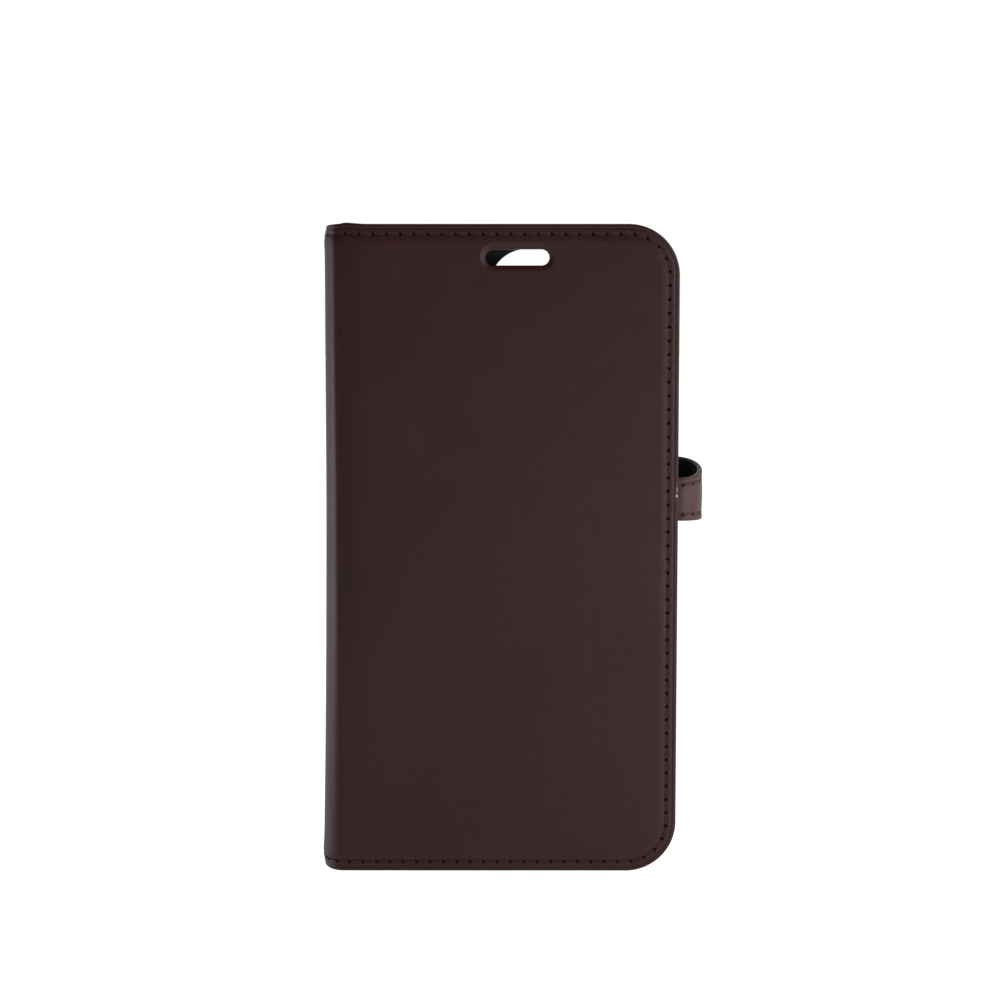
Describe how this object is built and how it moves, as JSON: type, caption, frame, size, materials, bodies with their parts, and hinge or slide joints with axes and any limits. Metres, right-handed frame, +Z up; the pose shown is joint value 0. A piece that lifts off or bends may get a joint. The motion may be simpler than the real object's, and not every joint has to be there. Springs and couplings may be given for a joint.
{
  "type": "phone wallet case",
  "caption": "Book-style phone wallet case: leather covers hinged on a rounded spine, moulded inner tray, card pockets, earpiece slot and a magnetic strap that closes on the back.",
  "frame": {"origin": "centre of the whole case's footprint, strap included, at the bottom edge that the closed case stands on", "axes": "+X from the spine to the free edge, +Y from the front cover to the back cover, +Z up the case"},
  "size_m": [0.0984, 0.019, 0.167],
  "materials": {
    "leather": "smooth dark brown full-grain leather, soft satin sheen",
    "strap": "smooth brown leather, satin, a little lighter than the covers",
    "pocket": "thin black split leather with a fine grain, matt",
    "lining": "black microfibre, short nap, matt",
    "thread": "bonded dark brown sewing thread, matt",
    "board": "grey-brown stiffening board, matt",
    "shell": "black moulded soft plastic, satin",
    "adhesive": "white bonding pad, matt",
    "steel": "nickel-plated steel and magnet, satin"
  },
  "bodies": {
    "back_cover": {"back_leather": "leather", "back_thread": "thread", "back_board": "board", "back_lining": "lining", "catch_plate": "steel", "shell_pad": "adhesive", "phone_shell": "shell"},
    "volume_up": {"volume_up_button": "shell"},
    "volume_down": {"volume_down_button": "shell"},
    "side_key": {"side_button": "shell"},
    "spine": {"spine_leather": "leather", "spine_board": "board", "spine_lining": "lining", "spine_thread_bottom": "thread", "spine_thread_top": "thread"},
    "front_cover": {"front_leather": "leather", "front_thread": "thread", "front_board": "board", "front_lining": "lining", "cash_pocket": "pocket", "card_pocket_inner": "pocket", "card_pocket_middle": "pocket", "card_pocket_outer": "pocket", "strap_root": "strap"},
    "strap_side": {"strap_side_leather": "strap", "strap_side_lining": "lining", "strap_side_thread_bottom": "thread", "strap_side_thread_top": "thread"},
    "strap_tab": {"strap_tab_leather": "strap", "strap_tab_lining": "lining", "strap_tab_thread": "thread", "strap_magnet": "steel"}
  },
  "joints": [
    {"name": "spine_hinge", "type": "hinge", "parent": "back_cover", "child": "spine", "pos_m": [-0.04415, 0.00805, 0.0835], "axis": [0, 0, -1], "range_deg": [0, 179]},
    {"name": "cover_hinge", "type": "hinge", "parent": "spine", "child": "front_cover", "pos_m": [-0.04415, -0.00975, 0.0835], "axis": [0, 0, -1], "range_deg": [0, 179]},
    {"name": "strap_front_bend", "type": "hinge", "parent": "front_cover", "child": "strap_side", "pos_m": [0.04661, -0.00691, 0.0835], "axis": [0, 0, -1], "range_deg": [0, 90]},
    {"name": "strap_back_bend", "type": "hinge", "parent": "strap_side", "child": "strap_tab", "pos_m": [0.04661, 0.00801, 0.0835], "axis": [0, 0, -1], "range_deg": [0, 90]},
    {"name": "volume_up_press", "type": "slide", "parent": "back_cover", "child": "volume_up", "axis": [1, 0, 0], "range_m": [0, 0.00035], "stiffness_N_per_m": 400},
    {"name": "volume_down_press", "type": "slide", "parent": "back_cover", "child": "volume_down", "axis": [1, 0, 0], "range_m": [0, 0.00035], "stiffness_N_per_m": 400},
    {"name": "side_key_press", "type": "slide", "parent": "back_cover", "child": "side_key", "axis": [-1, 0, 0], "range_m": [0, 0.00035], "stiffness_N_per_m": 400}
  ]
}
